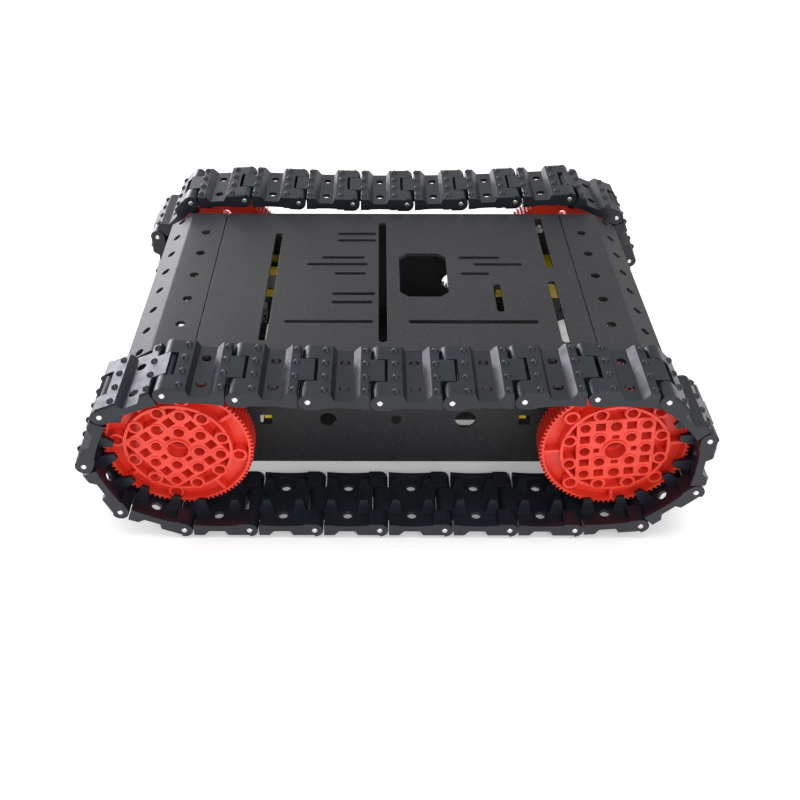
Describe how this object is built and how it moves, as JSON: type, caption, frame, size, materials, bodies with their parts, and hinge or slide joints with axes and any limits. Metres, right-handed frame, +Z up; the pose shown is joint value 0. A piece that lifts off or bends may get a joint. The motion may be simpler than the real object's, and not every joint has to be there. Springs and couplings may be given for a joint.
{
  "type": "tracked tank chassis",
  "caption": "Tracked robot chassis: moulded link tracks over toothed wheels on both sides of a slotted sheet-metal body with gear motors inside.",
  "frame": {"origin": "on the ground, under the middle of the chassis", "axes": "+X forward along the tracks, +Y to the vehicle's left, +Z up"},
  "size_m": [0.3344, 0.2542, 0.1047],
  "materials": {
    "track_link": "dark blue-grey moulded plastic, slightly shiny on the domed studs",
    "track_pin": "bright ground steel",
    "wheel": "tomato red moulded plastic, satin to glossy",
    "coupling": "turned",
    "output_shaft": "white moulded plastic",
    "gearbox": "yellow moulded plastic",
    "motor_can": "drawn steel",
    "motor_cap": "black moulded plastic",
    "panel": "black textured powder coat with a fine sparkle",
    "bracket": "mill finish",
    "fastener": "zinc plated"
  },
  "bodies": {
    "chassis": {"track_right_upper_run": "track_link", "track_right_front_wrap": "track_link", "track_right_lower_run": "track_link", "track_right_rear_wrap": "track_link", "track_right_pins": "track_pin", "track_left_upper_run": "track_link", "track_left_front_wrap": "track_link", "track_left_lower_run": "track_link", "track_left_rear_wrap": "track_link", "track_left_pins": "track_pin", "gear_case_front_right": "gearbox", "gear_lid_front_right": "gearbox", "motor_can_front_right": "motor_can", "motor_cap_front_right": "motor_cap", "gear_case_rear_right": "gearbox", "gear_lid_rear_right": "gearbox", "motor_can_rear_right": "motor_can", "motor_cap_rear_right": "motor_cap", "gear_case_front_left": "gearbox", "gear_lid_front_left": "gearbox", "motor_can_front_left": "motor_can", "motor_cap_front_left": "motor_cap", "gear_case_rear_left": "gearbox", "gear_lid_rear_left": "gearbox", "motor_can_rear_left": "motor_can", "motor_cap_rear_left": "motor_cap", "drive_screws": "fastener", "drive_nuts": "fastener", "deck_panel": "panel", "end_cover_front": "panel", "end_cover_rear": "panel", "side_panel_left": "panel", "side_panel_right": "panel", "floor_panel": "panel", "end_wall_front": "panel", "end_wall_rear": "panel", "angle_brackets": "bracket", "panel_screws": "fastener", "panel_nuts": "fastener"},
    "right_front_wheel": {"wheel_front_right": "wheel", "hub_coupling_front_right": "coupling", "output_shaft_front_right": "output_shaft", "wheel_screw_front_right": "fastener"},
    "right_rear_wheel": {"wheel_rear_right": "wheel", "hub_coupling_rear_right": "coupling", "output_shaft_rear_right": "output_shaft", "wheel_screw_rear_right": "fastener"},
    "left_front_wheel": {"wheel_front_left": "wheel", "hub_coupling_front_left": "coupling", "output_shaft_front_left": "output_shaft", "wheel_screw_front_left": "fastener"},
    "left_rear_wheel": {"wheel_rear_left": "wheel", "hub_coupling_rear_left": "coupling", "output_shaft_rear_left": "output_shaft", "wheel_screw_rear_left": "fastener"}
  },
  "joints": [
    {"name": "right_front_spin", "type": "hinge", "parent": "chassis", "child": "right_front_wheel", "pos_m": [0.1156, -0.10525, 0.05261], "axis": [0, 1, 0], "continuous": true},
    {"name": "right_rear_spin", "type": "hinge", "parent": "chassis", "child": "right_rear_wheel", "pos_m": [-0.1156, -0.10525, 0.05261], "axis": [0, 1, 0], "continuous": true},
    {"name": "left_front_spin", "type": "hinge", "parent": "chassis", "child": "left_front_wheel", "pos_m": [0.1156, 0.10525, 0.05261], "axis": [0, 1, 0], "continuous": true},
    {"name": "left_rear_spin", "type": "hinge", "parent": "chassis", "child": "left_rear_wheel", "pos_m": [-0.1156, 0.10525, 0.05261], "axis": [0, 1, 0], "continuous": true}
  ],
  "couplings": [
    {"joint": "right_rear_spin", "follows": "right_front_spin", "ratio": 1},
    {"joint": "left_rear_spin", "follows": "left_front_spin", "ratio": 1}
  ]
}
